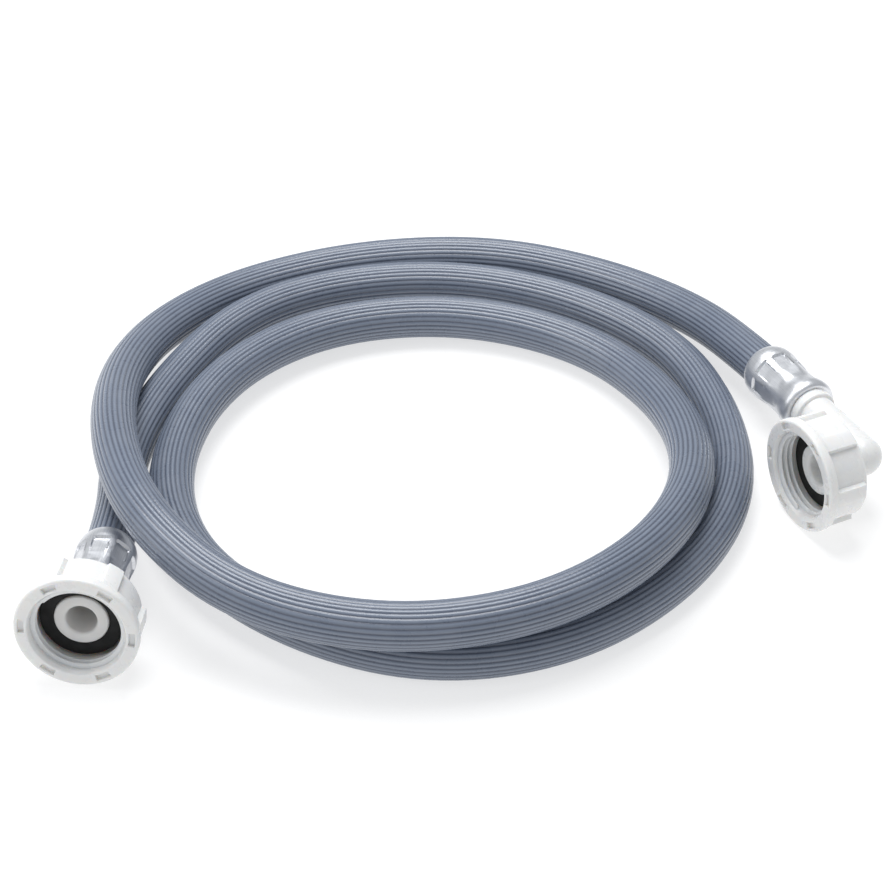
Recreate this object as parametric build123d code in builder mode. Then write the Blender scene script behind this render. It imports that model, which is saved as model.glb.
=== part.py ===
"""Braided PVC supply hose for a washing machine or dishwasher.

The hose lies on the floor in two and a half loose loops. One end carries a straight tail,
the other a right-angle tail, and each tail has a free-turning nut for a G 3/4 male thread
with a flat sealing washer inside it. Millimetres, +Z up. The origin is on the floor under
the middle of the box round the two end fittings. Every fitting is placed by the first or
last run of the hose's route, so moving a route point carries its fitting along.
"""
import math
import os

from build123d import *

# ---------------------------------------------------------------- driving dimensions
# Hose: three concentric layers
HOSE_RADIUS = 7.0
BRAID_RADIUS = 6.1
LINER_RADIUS = 5.6
HOSE_BORE_RADIUS = 4.75
ARC_SHARE = 0.45  # part of the shorter neighbouring run that each arc uses

# Crimped ferrule, measured along the fitting's axis from the hose's cut end
FERRULE_BACK = 23.0
FERRULE_FRONT = 4.0
FERRULE_LIP_RADIUS = 7.5
FERRULE_BULGE_RADIUS = 9.05
FERRULE_WAIST_RADIUS = 8.25
FERRULE_RIM_RADIUS = 9.2
FERRULE_GROOVE_RADIUS = 6.2
CRIMP_COUNT = 8
CRIMP_FLAT_DISTANCE = 7.9
CRIMP_FLAT_WIDTH = 5.0
CRIMP_BACK = 16.5
CRIMP_LENGTH = 12.5

# Tail: barbed stem, collar, neck, head and nose
STEM_LENGTH = 20.0
STEM_RADIUS = 4.7
STEM_BORE_RADIUS = 3.5
ELBOW_LEG_BORE_RADIUS = 3.3
BARB_RADIUS = 5.1
BARB_COUNT = 5
COLLAR_RADIUS = 7.3
COLLAR_LENGTH = 1.6
ELBOW_COLLAR_LENGTH = 3.3
NECK_RADIUS = 6.5
ELBOW_NECK_RADIUS = 6.2
ELBOW_LEG_RADIUS = 5.9  # between the corner and the nut
HEAD_RADIUS = 11.0
HEAD_LENGTH = 2.2
NOSE_RADIUS = 7.8
NOSE_PROUD = 0.5
NOSE_BORE_RADIUS = 4.4

# Washer for G 3/4
WASHER_RADIUS = 12.0
WASHER_HOLE_RADIUS = 7.9
WASHER_THICKNESS = 2.5

# Swivel nut, G 3/4 internal thread (ISO 228): minor diameter 24.117
NUT_LENGTH = 14.5
NUT_BODY_RADIUS = 15.6
NUT_FLANGE_RADIUS = 17.7
NUT_FLANGE_LENGTH = 3.0
NUT_REAR_WALL = 2.5
NUT_END_PLAY = 0.3
SWIVEL_CLEARANCE = 0.08
THREAD_MINOR_RADIUS = 12.06
RELIEF_RADIUS = 13.3
RELIEF_MARGIN = 0.3  # how far the relief runs past the nose
MOUTH_RADIUS = 13.6
MOUTH_CHAMFER = 1.4
RIB_COUNT = 6
RIB_WIDTH = 4.8
RIB_RADIUS = 17.3
SLOT_CENTRE_RADIUS = 15.6
SLOT_RADIAL = 1.9
SLOT_WIDTH = 4.3
SLOT_DEPTH = 1.6

# Where the nut's rear face stands
STRAIGHT_NUT_REAR = 6.0  # from the hose's cut end, along the hose
STRAIGHT_NUT_TURN = -5.0  # how far the straight nut is turned on its axis, degrees
ELBOW_REACH = 32.4  # from the hose's cut end to the corner
ELBOW_NUT_REAR = 8.4  # from the corner, along the nut's axis
ELBOW_NUT_TURN = 34.0  # how far the elbow's nut is turned on its axis, degrees

# Route of the hose's centre line, from the elbow end to the straight end: round the
# outermost loop, over itself at the left, along the top of the front strand, round the
# inner loop, under itself, round the middle loop and out under the first loop again.
ROUTE = [
    (105.9, 44.1, 16.7), (93, 71.2, 15.4), (76.5, 103, 11), (47, 129, 8), (9, 143, 8), (-35, 142, 7),
    (-75, 126, 7), (-101, 98, 10), (-112, 59, 17), (-108, 12, 27), (-94, -28, 29), (-65, -56, 23),
    (-23, -67, 21), (19, -60, 22), (52, -35, 22), (70, 5, 18), (66, 52, 10), (40, 90, 8),
    (-4, 107, 8), (-50, 98, 9), (-82, 66, 10), (-94, 21, 9), (-84, -20, 8), (-52, -50, 8),
    (-12, -64, 7), (29, -56, 7), (63, -28, 7), (82, 9, 7), (82, 49, 7), (69, 86, 8),
    (38, 115, 7), (-3, 129, 7), (-45, 123, 8), (-77, 103, 9), (-98, 66, 7), (-108, 27, 7),
    (-104.2, -9, 10.8), (-107.1, -44.5, 15.7),
]


# ---------------------------------------------------------------- route and frames
def arc_radii(route):
    """Largest radius that each corner's two runs allow, using ARC_SHARE of the shorter."""
    points = [Vector(*point) for point in route]
    radii = []
    for before, corner, after in zip(points, points[1:], points[2:]):
        run_in = corner - before
        run_out = after - corner
        turn = math.radians(run_in.get_angle(run_out))
        radii.append(ARC_SHARE * min(run_in.length, run_out.length) / math.tan(turn / 2))
    return radii


def fitting_frame(end, neighbour):
    """Plane square to the hose's end run: z points out of the hose, x lies level."""
    along = (Vector(*end) - Vector(*neighbour)).normalized()
    level = Vector(0, 0, 1).cross(along).normalized()
    return Plane(origin=end, x_dir=level, z_dir=along)


def section(frame):
    """Plane through a frame's axis: x is the radius and y runs along the axis."""
    return Plane(origin=frame.origin, x_dir=frame.x_dir, z_dir=-frame.y_dir)


def axis_of(frame):
    """The frame's own axis, for revolving a section."""
    return Axis(frame.origin, frame.z_dir)


RADII = arc_radii(ROUTE)
print("arc radii in mm:", ", ".join(f"{radius:.0f}" for radius in RADII))

STRAIGHT = fitting_frame(ROUTE[-1], ROUTE[-2])
ELBOW = fitting_frame(ROUTE[0], ROUTE[1])

# The elbow's second leg: level, square to the hose's end run, turned in towards the coil
ELBOW_CORNER = ELBOW.origin + ELBOW.z_dir * ELBOW_REACH
ELBOW_LEG = Plane(origin=ELBOW_CORNER, x_dir=ELBOW.y_dir, z_dir=-ELBOW.x_dir)


# ---------------------------------------------------------------- hose layers
def hose_layer(outer, inner):
    """One tubular layer of the hose, swept along the whole route."""
    with BuildPart() as layer:
        with BuildLine():
            path = FilletPolyline(*ROUTE, radius=RADII)
        with BuildSketch(Plane(origin=path @ 0, z_dir=path % 0)) as ring:
            Circle(outer)
            Circle(inner, mode=Mode.SUBTRACT)
        sweep(path=path)
    expected = ring.sketch.area * path.length
    print(f"layer {inner}-{outer}: {path.length:.0f} mm long, volume / expected", end=" ")
    print(f"{layer.part.volume / expected:.4f}")
    return layer.part


# ---------------------------------------------------------------- crimped ferrule
def ferrule(frame):
    """Crimped metal sleeve with its rolled-in front lip and a ring of pressed flats."""
    with BuildPart() as sleeve:
        with BuildSketch(section(frame)):
            with BuildLine():
                outline = Spline(
                    (FERRULE_LIP_RADIUS, -FERRULE_BACK),
                    (FERRULE_BULGE_RADIUS, -FERRULE_BACK + 5.0),
                    (FERRULE_WAIST_RADIUS, -3.5),
                    (FERRULE_RIM_RADIUS, 2.0),
                    (FERRULE_RIM_RADIUS - 0.6, FERRULE_FRONT),
                    tangents=[(1, 2), (-1, 1)],
                )
                Polyline(
                    outline @ 1,
                    (FERRULE_GROOVE_RADIUS, FERRULE_FRONT),
                    (FERRULE_GROOVE_RADIUS, 0),
                    (HOSE_RADIUS, 0),
                    (HOSE_RADIUS, -FERRULE_BACK),
                    outline @ 0,
                )
            make_face()
        revolve(axis=axis_of(frame))
        with BuildSketch(frame.offset(-CRIMP_BACK)):
            with PolarLocations(CRIMP_FLAT_DISTANCE + 2.0, CRIMP_COUNT):
                Rectangle(4.0, CRIMP_FLAT_WIDTH)
        extrude(amount=CRIMP_LENGTH, mode=Mode.SUBTRACT)
    return sleeve.part


# ---------------------------------------------------------------- tails
def stem_outline(neck_radius, collar_length):
    """Outer points of the stem and collar, from the stem's tip to the neck."""
    pitch = STEM_LENGTH / (BARB_COUNT + 1)
    points = [(STEM_RADIUS - 0.3, -STEM_LENGTH)]
    for index in range(BARB_COUNT):
        foot = -STEM_LENGTH + 1.0 + index * pitch
        points += [(STEM_RADIUS - 0.1, foot), (BARB_RADIUS, foot + 0.7 * pitch)]
        points += [(STEM_RADIUS - 0.1, foot + 0.75 * pitch)]
    points += [(STEM_RADIUS - 0.1, 0), (FERRULE_GROOVE_RADIUS, 0), (FERRULE_GROOVE_RADIUS, FERRULE_FRONT)]
    points += [(COLLAR_RADIUS, FERRULE_FRONT), (COLLAR_RADIUS, FERRULE_FRONT + collar_length)]
    points += [(neck_radius, FERRULE_FRONT + collar_length)]
    return points


def head_outline(nut_rear):
    """Outer points of the neck's end, the head that holds the nut, and the nose."""
    head = nut_rear + NUT_REAR_WALL + NUT_END_PLAY
    seat = head + HEAD_LENGTH
    tip = seat + WASHER_THICKNESS + NOSE_PROUD
    return [(NECK_RADIUS, head), (HEAD_RADIUS, head), (HEAD_RADIUS, seat), (NOSE_RADIUS, seat),
            (NOSE_RADIUS, tip - 0.6), (NOSE_RADIUS - 0.6, tip)]


def nose_tip(nut_rear):
    """Distance from the fitting's frame to the front of the nose."""
    return head_outline(nut_rear)[-1][1]


def straight_tail_part(frame):
    """Straight tail: stem, collar, neck, head and nose turned about one axis, bored through."""
    tip = nose_tip(STRAIGHT_NUT_REAR)
    with BuildPart() as tail:
        with BuildSketch(section(frame)):
            with BuildLine():
                bore = [(NOSE_BORE_RADIUS + 0.8, tip), (NOSE_BORE_RADIUS, tip - 0.8),
                        (NOSE_BORE_RADIUS, 3.0), (STEM_BORE_RADIUS, 0.5), (STEM_BORE_RADIUS, -STEM_LENGTH)]
                stem = stem_outline(NECK_RADIUS, COLLAR_LENGTH)
                Polyline(*stem, *head_outline(STRAIGHT_NUT_REAR), *bore, close=True)
            make_face()
        revolve(axis=axis_of(frame))
    return tail.part


def elbow_tail_part(frame, leg):
    """Right-angle tail: stem and domed neck on one axis, head and nose on the other."""
    tip = nose_tip(ELBOW_NUT_REAR)
    with BuildPart() as tail:
        with BuildSketch(section(frame)):
            with BuildLine():
                stem = stem_outline(ELBOW_NECK_RADIUS, ELBOW_COLLAR_LENGTH)
                Polyline((0, -STEM_LENGTH), *stem, (ELBOW_NECK_RADIUS, ELBOW_REACH))
                dome = CenterArc((0, ELBOW_REACH), ELBOW_NECK_RADIUS, 0, 90)
                Line(dome @ 1, (0, -STEM_LENGTH))
            make_face()
        revolve(axis=axis_of(frame))
        with BuildSketch(section(leg)):
            with BuildLine():
                Polyline((0, 0), (ELBOW_LEG_RADIUS, 0), (ELBOW_LEG_RADIUS, 5.5), (NECK_RADIUS, 7.0),
                         *head_outline(ELBOW_NUT_REAR), (0, tip), close=True)
            make_face()
        revolve(axis=axis_of(leg))
        with BuildSketch(frame.offset(-STEM_LENGTH)):
            Circle(STEM_BORE_RADIUS)
        extrude(amount=STEM_LENGTH + ELBOW_REACH + STEM_BORE_RADIUS, mode=Mode.SUBTRACT)
        with BuildSketch(section(leg)):
            with BuildLine():
                Polyline((0, 0), (ELBOW_LEG_BORE_RADIUS, 0), (ELBOW_LEG_BORE_RADIUS, 5.0),
                         (NOSE_BORE_RADIUS, 8.0), (NOSE_BORE_RADIUS, tip - 0.8),
                         (NOSE_BORE_RADIUS + 0.8, tip), (0, tip), close=True)
            make_face()
        revolve(axis=axis_of(leg), mode=Mode.SUBTRACT)
    return tail.part


# ---------------------------------------------------------------- washer and nut
def washer(frame, nut_rear):
    """Flat rubber ring seated on the tail's head, round the nose."""
    seat = nut_rear + NUT_REAR_WALL + NUT_END_PLAY + HEAD_LENGTH
    with BuildPart() as ring:
        with BuildSketch(frame.offset(seat)):
            Circle(WASHER_RADIUS)
            Circle(WASHER_HOLE_RADIUS, mode=Mode.SUBTRACT)
        extrude(amount=WASHER_THICKNESS)
    return ring.part


def nut(frame, nut_rear, turn):
    """Swivel nut: ribbed skirt, front flange with cored slots, thread bore and rear hole."""
    turned = frame.x_dir.rotate(Axis((0, 0, 0), frame.z_dir), turn)
    rear = Plane(origin=frame.offset(nut_rear).origin, x_dir=turned, z_dir=frame.z_dir)
    nose_top = NUT_REAR_WALL + NUT_END_PLAY + HEAD_LENGTH + WASHER_THICKNESS + NOSE_PROUD
    relief_end = nose_top + RELIEF_MARGIN
    flange_back = NUT_LENGTH - NUT_FLANGE_LENGTH
    with BuildPart() as shell:
        with BuildSketch(section(rear)):
            with BuildLine():
                Polyline(
                    (NECK_RADIUS + SWIVEL_CLEARANCE, 0),
                    (NUT_BODY_RADIUS - 1.5, 0),
                    (NUT_BODY_RADIUS, 1.5),
                    (NUT_BODY_RADIUS, flange_back - 0.8),
                    (NUT_FLANGE_RADIUS, flange_back),
                    (NUT_FLANGE_RADIUS, NUT_LENGTH - 0.6),
                    (NUT_FLANGE_RADIUS - 0.6, NUT_LENGTH),
                    (MOUTH_RADIUS, NUT_LENGTH),
                    (THREAD_MINOR_RADIUS, NUT_LENGTH - MOUTH_CHAMFER),
                    (THREAD_MINOR_RADIUS, relief_end),
                    (RELIEF_RADIUS, relief_end),
                    (RELIEF_RADIUS, NUT_REAR_WALL),
                    (NECK_RADIUS + SWIVEL_CLEARANCE, NUT_REAR_WALL),
                    close=True,
                )
            make_face()
        revolve(axis=axis_of(rear))
        with BuildSketch(rear.offset(0.8)):
            with PolarLocations((NUT_BODY_RADIUS + RIB_RADIUS) / 2 - 0.5, RIB_COUNT):
                Rectangle(RIB_RADIUS - NUT_BODY_RADIUS + 1.0, RIB_WIDTH)
        extrude(amount=flange_back)
        with BuildSketch(rear.offset(NUT_LENGTH - SLOT_DEPTH)):
            with PolarLocations(SLOT_CENTRE_RADIUS, RIB_COUNT):
                Rectangle(SLOT_RADIAL, SLOT_WIDTH)
        extrude(amount=SLOT_DEPTH, mode=Mode.SUBTRACT)
    return shell.part


# ---------------------------------------------------------------- the parts
PARTS = {
    "hose_cover": hose_layer(HOSE_RADIUS, BRAID_RADIUS),
    "hose_braid": hose_layer(BRAID_RADIUS, LINER_RADIUS),
    "hose_liner": hose_layer(LINER_RADIUS, HOSE_BORE_RADIUS),
    "straight_ferrule": ferrule(STRAIGHT),
    "straight_tail": straight_tail_part(STRAIGHT),
    "straight_washer": washer(STRAIGHT, STRAIGHT_NUT_REAR),
    "straight_nut": nut(STRAIGHT, STRAIGHT_NUT_REAR, STRAIGHT_NUT_TURN),
    "elbow_ferrule": ferrule(ELBOW),
    "elbow_tail": elbow_tail_part(ELBOW, ELBOW_LEG),
    "elbow_washer": washer(ELBOW_LEG, ELBOW_NUT_REAR),
    "elbow_nut": nut(ELBOW_LEG, ELBOW_NUT_REAR, ELBOW_NUT_TURN),
}

os.makedirs("parts", exist_ok=True)
for name, part in PARTS.items():
    part.label = name
    export_step(part, f"parts/{name}.step")
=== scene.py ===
"""Visual model of a braided water supply hose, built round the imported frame.

The hose lies in two and a half loose loops on the floor. One end carries a straight spigot and
the other a right-angle one, each with a crimped sleeve, a sealing ring and a free-turning nut
for a G 3/4 male thread. Sizes are given in millimetres; MM turns them into metres.
"""

import logging
import math
from collections.abc import Iterable, Sequence
from dataclasses import dataclass, field
from enum import Enum

import bmesh
import bpy
from mathutils import Matrix, Quaternion, Vector


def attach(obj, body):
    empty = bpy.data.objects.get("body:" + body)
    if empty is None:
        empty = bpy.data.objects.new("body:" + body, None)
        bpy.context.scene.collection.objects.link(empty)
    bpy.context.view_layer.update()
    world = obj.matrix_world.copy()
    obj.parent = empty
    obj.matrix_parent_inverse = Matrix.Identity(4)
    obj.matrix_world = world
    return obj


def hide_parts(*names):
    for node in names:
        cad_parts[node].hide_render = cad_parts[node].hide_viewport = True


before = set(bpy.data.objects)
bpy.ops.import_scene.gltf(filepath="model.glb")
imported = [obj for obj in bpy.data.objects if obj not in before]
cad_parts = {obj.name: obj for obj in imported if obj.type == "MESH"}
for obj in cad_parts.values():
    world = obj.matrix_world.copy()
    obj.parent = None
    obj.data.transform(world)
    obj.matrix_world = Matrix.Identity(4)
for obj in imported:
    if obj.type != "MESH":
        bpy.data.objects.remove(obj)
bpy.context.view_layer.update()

LOG = logging.getLogger("supply_hose")
MM = 0.001
SLEEVE_BACK = -23.0  # where the hose leaves a sleeve, measured from its cut end
ELBOW_NUT_REAR = 8.4
ELBOW_NUT_TURN = 34.0
STRAIGHT_NUT_REAR = 6.0
STRAIGHT_NUT_TURN = -5.0
SHARP_ANGLE = math.radians(38)
LOCAL_PLACE = "piece_place"  # each turned piece's own coordinates, in millimetres
CREST = "crest"  # 1 along the top of a rib, 0 in the groove beside it
STRAND_MAP = "strand_map"  # u once round the hose, v in turns of its girth along it
YARN_COUNT = 14.0  # yarns wound each way

# Centre line of the hose, from the elbow end to the straight end, in metres
ROUTE = [
    (0.1059, 0.0441, 0.0167), (0.093, 0.0712, 0.0154), (0.0765, 0.103, 0.011),
    (0.047, 0.129, 0.008), (0.009, 0.143, 0.008), (-0.035, 0.142, 0.007), (-0.075, 0.126, 0.007),
    (-0.101, 0.098, 0.010), (-0.112, 0.059, 0.017), (-0.108, 0.012, 0.027),
    (-0.094, -0.028, 0.029), (-0.065, -0.056, 0.023), (-0.023, -0.067, 0.021),
    (0.019, -0.060, 0.022), (0.052, -0.035, 0.022), (0.070, 0.005, 0.018), (0.066, 0.052, 0.010),
    (0.040, 0.090, 0.008), (-0.004, 0.107, 0.008), (-0.050, 0.098, 0.009), (-0.082, 0.066, 0.010),
    (-0.094, 0.021, 0.009), (-0.084, -0.020, 0.008), (-0.052, -0.050, 0.008),
    (-0.012, -0.064, 0.007), (0.029, -0.056, 0.007), (0.063, -0.028, 0.007), (0.082, 0.009, 0.007),
    (0.082, 0.049, 0.007), (0.069, 0.086, 0.008), (0.038, 0.115, 0.007), (-0.003, 0.129, 0.007),
    (-0.045, 0.123, 0.008), (-0.077, 0.103, 0.009), (-0.098, 0.066, 0.007), (-0.108, 0.027, 0.007),
    (-0.1042, -0.009, 0.0108), (-0.1071, -0.0445, 0.0157),
]

Colour = tuple[float, float, float]
Outline = Sequence[tuple[float, float, float]]


class Body(Enum):
    """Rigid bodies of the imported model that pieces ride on."""

    HOSE = "hose"
    STRAIGHT_NUT = "straight_nut"
    ELBOW_NUT = "elbow_nut"


class Slot(Enum):
    """Material slots, one named by each finish."""

    HOSE_PVC = "hose_pvc"
    BRAID_YARN = "braid_yarn"
    LINER_PVC = "liner_pvc"
    FERRULE_METAL = "ferrule_metal"
    TAIL_PLASTIC = "tail_plastic"
    WHITE_PLASTIC = "white_plastic"
    WASHER_RUBBER = "washer_rubber"


# ---------------------------------------------------------------- places
@dataclass(frozen=True)
class Seat:
    """Where a turned piece stands: its origin in metres, its axis, and the way its x points."""

    origin: Vector
    axis: Vector
    across: Vector

    @classmethod
    def on_run(cls, end: Sequence[float], neighbour: Sequence[float]) -> "Seat":
        """Seat on the hose's cut end.

        Args:
            end: last point of the route.
            neighbour: the point before it.

        Returns:
            A seat whose axis points out of the hose and whose x is level.
        """
        axis = (Vector(end) - Vector(neighbour)).normalized()
        return cls(Vector(end), axis, Vector((0, 0, 1)).cross(axis).normalized())

    def moved(self, along: float) -> "Seat":
        """Same seat moved along its axis by a distance in millimetres."""
        return Seat(self.origin + self.axis * along * MM, self.axis, self.across)

    def turned(self, degrees: float) -> "Seat":
        """Same seat with its x turned about its axis."""
        spin = Quaternion(self.axis, math.radians(degrees))
        return Seat(self.origin, self.axis, spin @ self.across)

    def side_leg(self, reach: float) -> "Seat":
        """Seat at a corner further out, whose axis is square to this one and level.

        Args:
            reach: distance from this seat to the corner, in millimetres.

        Returns:
            The seat of the corner's other leg.
        """
        corner = self.origin + self.axis * reach * MM
        return Seat(corner, -self.across, self.axis.cross(self.across))

    def matrix(self) -> Matrix:
        """Transform from the piece's own millimetres to the frame's metres."""
        basis = Matrix((self.across, self.axis.cross(self.across), self.axis)).transposed()
        return Matrix.Translation(self.origin) @ basis.to_4x4() @ Matrix.Scale(MM, 4)


# ---------------------------------------------------------------- mesh helpers
def turn_outline(outline: Outline, steps: int, closed: bool = True) -> bmesh.types.BMesh:
    """Turn an outline a full circle about Z.

    Args:
        outline: (radius, height, rounding) of each corner; a rounding of 0 keeps it sharp.
        steps: number of faces round the circle.
        closed: whether the outline closes on itself; otherwise its ends lie on the axis.

    Returns:
        A closed bmesh, in millimetres, with its faces pointing outwards.
    """
    bm = bmesh.new()
    corners = [bm.verts.new((radius, 0, height)) for radius, height, _ in outline]
    partners = corners[1:] + corners[:1] if closed else corners[1:]
    for pair in zip(corners, partners):
        bm.edges.new(pair)
    sizes = sorted({rounding for _, _, rounding in outline if rounding > 0})
    for size in sizes:
        chosen = [vert for vert, corner in zip(corners, outline) if corner[2] == size]
        bmesh.ops.bevel(bm, geom=chosen, offset=size, offset_type="OFFSET", affect="VERTICES",
                        segments=4, profile=0.5, material=-1, clamp_overlap=True)
    bmesh.ops.spin(bm, geom=bm.verts[:] + bm.edges[:], cent=(0, 0, 0), axis=(0, 0, 1),
                   angle=math.tau, steps=steps, use_merge=True)
    bmesh.ops.remove_doubles(bm, verts=bm.verts, dist=1e-4)
    bmesh.ops.recalc_face_normals(bm, faces=bm.faces)
    return bm


def turn_of(point: Vector) -> float:
    """Angle of a point about Z, in degrees."""
    return math.degrees(math.atan2(point.y, point.x))


def sector_middle(index: int, count: int) -> Vector:
    """Direction of the middle of one of several evenly spaced sectors."""
    middle = math.radians(index * 360.0 / count)
    return Vector((math.cos(middle), math.sin(middle), 0))


def off_sector(point: Vector, count: int) -> float:
    """Angle from a point to the nearest of evenly spaced sector middles, in degrees."""
    pitch = 360.0 / count
    return abs((turn_of(point) + pitch / 2) % pitch - pitch / 2)


def soften(bm: bmesh.types.BMesh, edges: Iterable[bmesh.types.BMEdge], width: float) -> None:
    """Round off chosen edges.

    Args:
        bm: mesh to work on.
        edges: edges to round.
        width: distance from the old edge to the new ones, in millimetres.
    """
    bmesh.ops.bevel(bm, geom=list(edges), offset=width, offset_type="OFFSET", affect="EDGES",
                    segments=3, profile=0.5, material=-1, clamp_overlap=True)


def steep_edges(bm: bmesh.types.BMesh, degrees: float) -> list[bmesh.types.BMEdge]:
    """Edges whose two faces meet at more than an angle."""
    limit = math.radians(degrees)
    return [e for e in bm.edges if len(e.link_faces) == 2 and e.calc_face_angle() > limit]


def finish_mesh(name: str, bm: bmesh.types.BMesh, seat: Seat | None) -> bpy.types.Object:
    """Put a bmesh in its place and make it an object at the origin.

    Args:
        name: the piece's name.
        bm: mesh in millimetres, or in metres where seat is None; it is freed.
        seat: where the piece stands.

    Returns:
        The linked object, shaded smooth up to SHARP_ANGLE.
    """
    if seat is not None:
        place = bm.verts.layers.float_vector.new(LOCAL_PLACE)
        for vert in bm.verts:
            vert[place] = vert.co
        bmesh.ops.transform(bm, matrix=seat.matrix(), verts=bm.verts)
    mesh = bpy.data.meshes.new(name)
    bm.to_mesh(mesh)
    bm.free()
    mesh.shade_smooth()
    mesh.set_sharp_from_angle(angle=SHARP_ANGLE)
    piece = bpy.data.objects.new(name, mesh)
    bpy.context.scene.collection.objects.link(piece)
    return piece


def sector_faces(bm: bmesh.types.BMesh, outward: Vector, least_reach: float, count: int,
                 half_turn: float) -> list[tuple[bmesh.types.BMFace, Vector]]:
    """Faces near the middle of one of several evenly spaced sectors.

    Args:
        bm: mesh to look through.
        outward: direction of the sector's middle.
        least_reach: how far out along it a face's centre is at least, in millimetres.
        count: number of sectors.
        half_turn: how far from the sector's middle a face may be, in degrees.

    Returns:
        (face, its centre) pairs.
    """
    centres = [(face, face.calc_center_median()) for face in bm.faces]
    return [(face, centre) for face, centre in centres
            if centre.dot(outward) > least_reach and off_sector(centre, count) < half_turn]


def carve(name: str, base: bmesh.types.BMesh,
          tools: Sequence[tuple[str, bmesh.types.BMesh]]) -> bmesh.types.BMesh:
    """Join or cut closed shapes one after another.

    Args:
        name: name for the working objects.
        base: the first shape; it is freed.
        tools: (operation, shape) pairs, with UNION or DIFFERENCE; each shape is freed.

    Returns:
        One closed bmesh, in the shapes' own units.
    """
    made = []
    for shape in [base, *[tool for _, tool in tools]]:
        mesh = bpy.data.meshes.new(f"{name}_work")
        shape.to_mesh(mesh)
        shape.free()
        made.append(bpy.data.objects.new(f"{name}_work", mesh))
        bpy.context.scene.collection.objects.link(made[-1])
    for (operation, _), tool in zip(tools, made[1:]):
        cut = made[0].modifiers.new(operation.lower(), "BOOLEAN")
        cut.operation = operation
        cut.solver = "EXACT"
        cut.object = tool
    evaluated = made[0].evaluated_get(bpy.context.evaluated_depsgraph_get())
    result = bmesh.new()
    result.from_mesh(evaluated.to_mesh())
    evaluated.to_mesh_clear()
    for work in made:
        mesh = work.data
        bpy.data.objects.remove(work)
        bpy.data.meshes.remove(mesh)
    bmesh.ops.remove_doubles(result, verts=result.verts, dist=1e-4)
    return result


# ---------------------------------------------------------------- shader nodes
class Graph:
    """A node tree being filled in, with short calls to add, set and join nodes."""

    def __init__(self, tree: bpy.types.NodeTree) -> None:
        """Start filling an empty tree."""
        self.tree = tree

    def add(self, kind: str, settings: dict | None = None, **sockets: object) -> bpy.types.Node:
        """Add a node.

        Args:
            kind: the node's type name without its ShaderNode prefix.
            settings: properties of the node itself.
            sockets: input values or output sockets, by input name with _ for each space.

        Returns:
            The new node.
        """
        node = self.tree.nodes.new(f"ShaderNode{kind}")
        for key, value in (settings or {}).items():
            setattr(node, key, value)
        for key, value in sockets.items():
            self.feed(node.inputs[key.replace("_", " ")], value)
        return node

    def feed(self, socket: bpy.types.NodeSocket, value: object) -> None:
        """Join an output to a socket, or set the socket's own value."""
        if isinstance(value, bpy.types.NodeSocket):
            self.tree.links.new(value, socket)
        else:
            socket.default_value = value

    def calc(self, operation: str, *values: object) -> bpy.types.NodeSocket:
        """Add a Math node.

        Args:
            operation: the node's operation.
            values: numbers or output sockets for its inputs.

        Returns:
            The node's value.
        """
        node = self.add("Math", {"operation": operation})
        for socket, value in zip(node.inputs, values):
            self.feed(socket, value)
        return node.outputs[0]

    def fit(self, value: bpy.types.NodeSocket, low: float, high: float,
            to_low: float = 0.0, to_high: float = 1.0) -> bpy.types.NodeSocket:
        """Map a range of a value smoothly onto another range."""
        node = self.add("MapRange", {"interpolation_type": "SMOOTHSTEP"}, Value=value)
        node.inputs["From Min"].default_value = low
        node.inputs["From Max"].default_value = high
        node.inputs["To Min"].default_value = to_low
        node.inputs["To Max"].default_value = to_high
        return node.outputs["Result"]

    def blend(self, share: object, first: object, second: object) -> bpy.types.NodeSocket:
        """Mix two colours by a share and return the result."""
        node = self.add("Mix", {"data_type": "RGBA"})
        self.feed(node.inputs["Factor"], share)
        colours = [socket for socket in node.inputs if socket.type == "RGBA"]
        for socket, colour in zip(colours, (first, second)):
            self.feed(socket, (*colour, 1.0) if isinstance(colour, tuple) else colour)
        return [socket for socket in node.outputs if socket.type == "RGBA"][0]

    def bump(self, height: bpy.types.NodeSocket, depth: float, strength: float,
             under: bpy.types.NodeSocket | None = None) -> bpy.types.NodeSocket:
        """Add a Bump node.

        Args:
            height: the pattern, from 0 to 1.
            depth: how deep the whole pattern is, in millimetres.
            strength: share of it that shows.
            under: normal of an earlier Bump node.

        Returns:
            The bumped normal.
        """
        node = self.add("Bump", Height=height, Strength=strength, Distance=depth * MM)
        if under is not None:
            self.feed(node.inputs["Normal"], under)
        return node.outputs["Normal"]


def darker(colour: Colour, share: float) -> Colour:
    """A colour with each of its parts scaled down."""
    return tuple(share * part for part in colour)


class SharedEffect:
    """A node group that several finishes place with their own values."""

    _made: dict[str, bpy.types.NodeTree] = {}

    title = ""
    inputs: Sequence[tuple[str, str, float]] = ()
    outputs: Sequence[tuple[str, str]] = ()

    @classmethod
    def group(cls) -> bpy.types.NodeTree:
        """The group, built when it is first asked for."""
        if cls.title not in SharedEffect._made:
            tree = bpy.data.node_groups.new(cls.title, "ShaderNodeTree")
            for name, kind, value in cls.inputs:
                socket = tree.interface.new_socket(name, in_out="INPUT", socket_type=kind)
                if kind == "NodeSocketFloat":
                    socket.default_value = value
            for name, kind in cls.outputs:
                tree.interface.new_socket(name, in_out="OUTPUT", socket_type=kind)
            given = tree.nodes.new("NodeGroupInput")
            cls.fill(Graph(tree), given, tree.nodes.new("NodeGroupOutput"))
            SharedEffect._made[cls.title] = tree
        return SharedEffect._made[cls.title]

    @classmethod
    def place(cls, graph: Graph, **sockets: object) -> bpy.types.Node:
        """Put the group in a material with its own values."""
        node = graph.tree.nodes.new("ShaderNodeGroup")
        node.node_tree = cls.group()
        for key, value in sockets.items():
            graph.feed(node.inputs[key.replace("_", " ")], value)
        return node

    @classmethod
    def fill(cls, graph: Graph, given: bpy.types.Node, result: bpy.types.Node) -> None:
        """Build the group's inside."""
        raise NotImplementedError


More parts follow.
